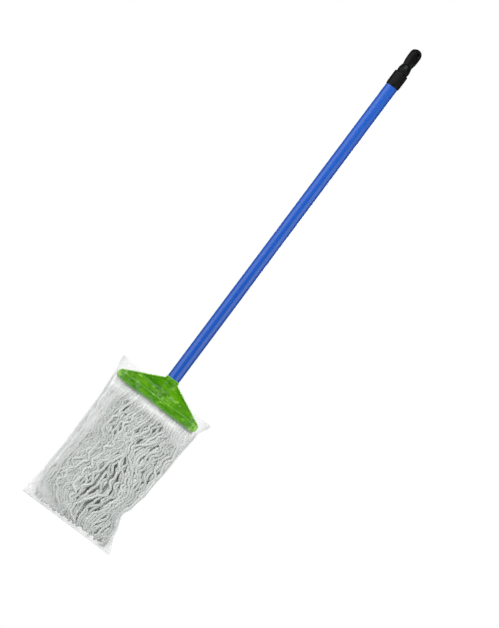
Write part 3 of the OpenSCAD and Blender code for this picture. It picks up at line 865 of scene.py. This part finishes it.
def spread_highest(grid, reach):
    """Each cell takes the highest value within reach cells of it."""
    for axis in (0, 1):
        grid = np.max(shifted(grid, reach, axis), axis=0)
    return grid


def average_near(grid, reach):
    """Each cell takes the mean of those within reach cells of it, twice over."""
    for axis in (0, 1, 0, 1):
        grid = np.mean(shifted(grid, reach, axis), axis=0)
    return grid


def yarn_surface(yarn, facing):
    """How far the yarn stands out at each x and height, on the side that faces that way."""
    paths, heights, halves = yarn
    xs = np.arange(-112, 113, 2.0)
    out = np.zeros((len(heights), len(xs)))
    for i in range(len(heights)):
        off = np.abs(xs[None, :] - paths[i, :, 0][:, None]) / (halves[0][i] * OVER)
        round_strand = halves[1][i] * OVER * np.sqrt(np.clip(1 - off ** 2, 0, 1))
        bulge = paths[i, :, 1][:, None] * facing + round_strand
        out[i] = np.max(np.where(off < 1, bulge, 0), axis=0)
    drape = average_near(spread_highest(out, 2), 2) + 0.5
    return xs, heights, np.maximum(drape, spread_highest(out, 1) + 0.35)


def look_up(surface, x, z):
    """The surface's height at any x and z, read between its points."""
    xs, heights, grid = surface
    column = np.clip((x - xs[0]) / (xs[1] - xs[0]), 0, len(xs) - 1.001)
    row = np.clip((heights[0] - z) / STEP, 0, len(heights) - 1.001)
    c, r = column.astype(int), row.astype(int)
    u, v = column - c, row - r
    top = grid[r, c] * (1 - u) + grid[r, c + 1] * u
    foot = grid[r + 1, c] * (1 - u) + grid[r + 1, c + 1] * u
    return top * (1 - v) + foot * v


def bag_depth(surface, x, z, facing):
    """How far the film stands off the clip's mid plane on one side."""
    drop = CLIP_FOOT - z
    shut = eased(z - BAG_LOW[2], [(SEAL - 1, 1), (SEAL + 9, 0)])
    over_yarn = look_up(surface, x, z) * (1 - shut) + 0.15 * shut
    if facing < 0:
        over_clip = eased(drop, [(0, 1), (26, 0)])
        at_clip = 15.4 + 1.4 * np.exp(-((x / 16) ** 2)) * eased(drop, [(-40, 1), (-20, 0)])
    else:
        over_clip = eased(drop, [(6, 1), (60, 0)])
        at_clip = 25.6 + 10.2 * np.exp(-((x / 46) ** 2))
    return over_yarn * (1 - over_clip) + over_clip * np.maximum(at_clip, over_yarn)


def haze_at(x, z, near, down):
    """How milky the film is, with painted light in it: at its welds and lip, towards its corners, and
    where it lies in clouds.
    """
    drop = CLIP_FOOT - z
    below = np.clip((drop + 6) / 8, 0, 1)
    # Near the side edges, where the film turns away, the raised milk is painted reflection for the shine
    # of the slanting film
    share = 0.01 + 0.07 * below + 0.12 * np.exp(-((near / 15) ** 2))
    share = share + 0.06 * np.exp(-np.clip(near - HEM, 0, None) / 2)
    for at_x, at_drop, wide, tall, amount in HAZE_AND_PAINTED_LIGHT_PATCHES:
        cloud = amount * np.exp(-(((x - at_x) / wide) ** 2) - ((drop - at_drop) / tall) ** 2)
        share = share + cloud * (below if at_drop > 0 else 1)
    lip = (0.02 + 0.1 * np.exp(-((near / 30) ** 2))) * np.exp(-down * 170)
    seal = 0.2 * (z - BAG_LOW[2] < SEAL)
    return np.clip(share + lip + seal, 0, 0.6)


def make_bag(material, yarn):
    """The film, ring by ring from its mouth to its weld, hung over the clip and the yarn."""
    rng = np.random.default_rng(21)
    crease = ripples(rng, 14, 70, 9, 0.9)
    sag = ripples(rng, 6, 160, 60, 0.7)
    mouth = ripples(rng, 5, 90, 30, 0.1)
    faces_of = {-1: yarn_surface(yarn, -1), 1: yarn_surface(yarn, 1)}
    tall = BAG_HIGH[2] - BAG_LOW[2]
    s = (1 - np.cos(np.linspace(0, math.pi, SIDE + 1))) / 2
    points, hazes = [], []
    for down in np.linspace(0, 1, ROWS):
        level = BAG_HIGH[2] - 1.2 - down * (tall - 1.4)
        left, right = bag_sides(down)
        x = left + (right - left) * s
        lift_mouth = 9 * np.exp(-((x - left) / 40)) - 3 * np.exp(-((right - x) / 60)) + mouth(x, 0 * x)
        z = level + lift_mouth * max(0, 1 - 9 * down) ** 2
        near = np.minimum(x - left, right - x)
        inward = np.clip((near - HEM) / 9.5, 0, 1)
        crown = np.sqrt(np.clip(1 - (1 - inward) ** 2, 0, 1))
        open_share = eased(np.array([level - BAG_LOW[2]]), [(SEAL - 1, 0), (SEAL + 22, 1)])[0]
        ridges = np.abs(crease(x, z)) + 0.4 * sag(x, z)
        folds = np.clip(0.9 * ridges, 0, None) * open_share * np.clip(inward * 2, 0, 1)
        corner = np.exp(-near / 16) * np.exp(-(level - BAG_LOW[2]) / 40)
        pull = 1.1 * corner * np.sin((x - z) / 3.3) * open_share
        ring = {}
        for facing, surface in faces_of.items():
            stand = bag_depth(surface, x, z, facing) * crown + folds + facing * pull
            limit = 2.0 - BAG_LOW[1] if facing < 0 else BAG_HIGH[1] + 2.0
            ring[facing] = facing * np.clip(stand, 0.1, limit)
        if down == 1:
            ring = {facing: 0 * x for facing in ring}
        points.append(np.stack([np.r_[x[:-1], x[:0:-1]], np.r_[ring[-1][:-1], ring[1][:0:-1]],
                                np.r_[z[:-1], z[:0:-1]]], -1))
        haze = haze_at(x, z, near, down)
        # The back lies closer to the yarn, so it is clearer away from its edges
        behind = haze * (0.4 + 0.6 * np.exp(-np.clip(near, 0, None) / 14))
        hazes.append(np.r_[haze[:-1], behind[:0:-1]])
    points, hazes = np.array(points), np.array(hazes)
    faces = grid_faces(ROWS, points.shape[1])
    piece = make_piece("clear_bag_film", points.reshape(-1, 3), faces[:, ::-1], material,
                       haze=hazes.ravel())
    weld_bottom(piece)
    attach(piece, "bag")
    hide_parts("clear_bag")
    return piece


def weld_bottom(piece):
    """Joins the two sides of the film where they meet at its foot."""
    mesh = bmesh.new()
    mesh.from_mesh(piece.data)
    bmesh.ops.remove_doubles(mesh, verts=mesh.verts, dist=0.02 * MM)
    mesh.to_mesh(piece.data)
    mesh.free()


# ---------------------------------------------------------------- build

make_camera()
make_studio()
make_floor()
finish_hard_parts()
yarn = make_yarn(cotton_yarn())
tape_cloth = cotton_tape()
tapes = [make_tape("headband_front", "band_tape_front", -1, tape_cloth),
         make_tape("headband_back", "band_tape_back", 1, tape_cloth)]
make_stitches(polyester_thread())
bag = make_bag(polythene_film(), yarn)
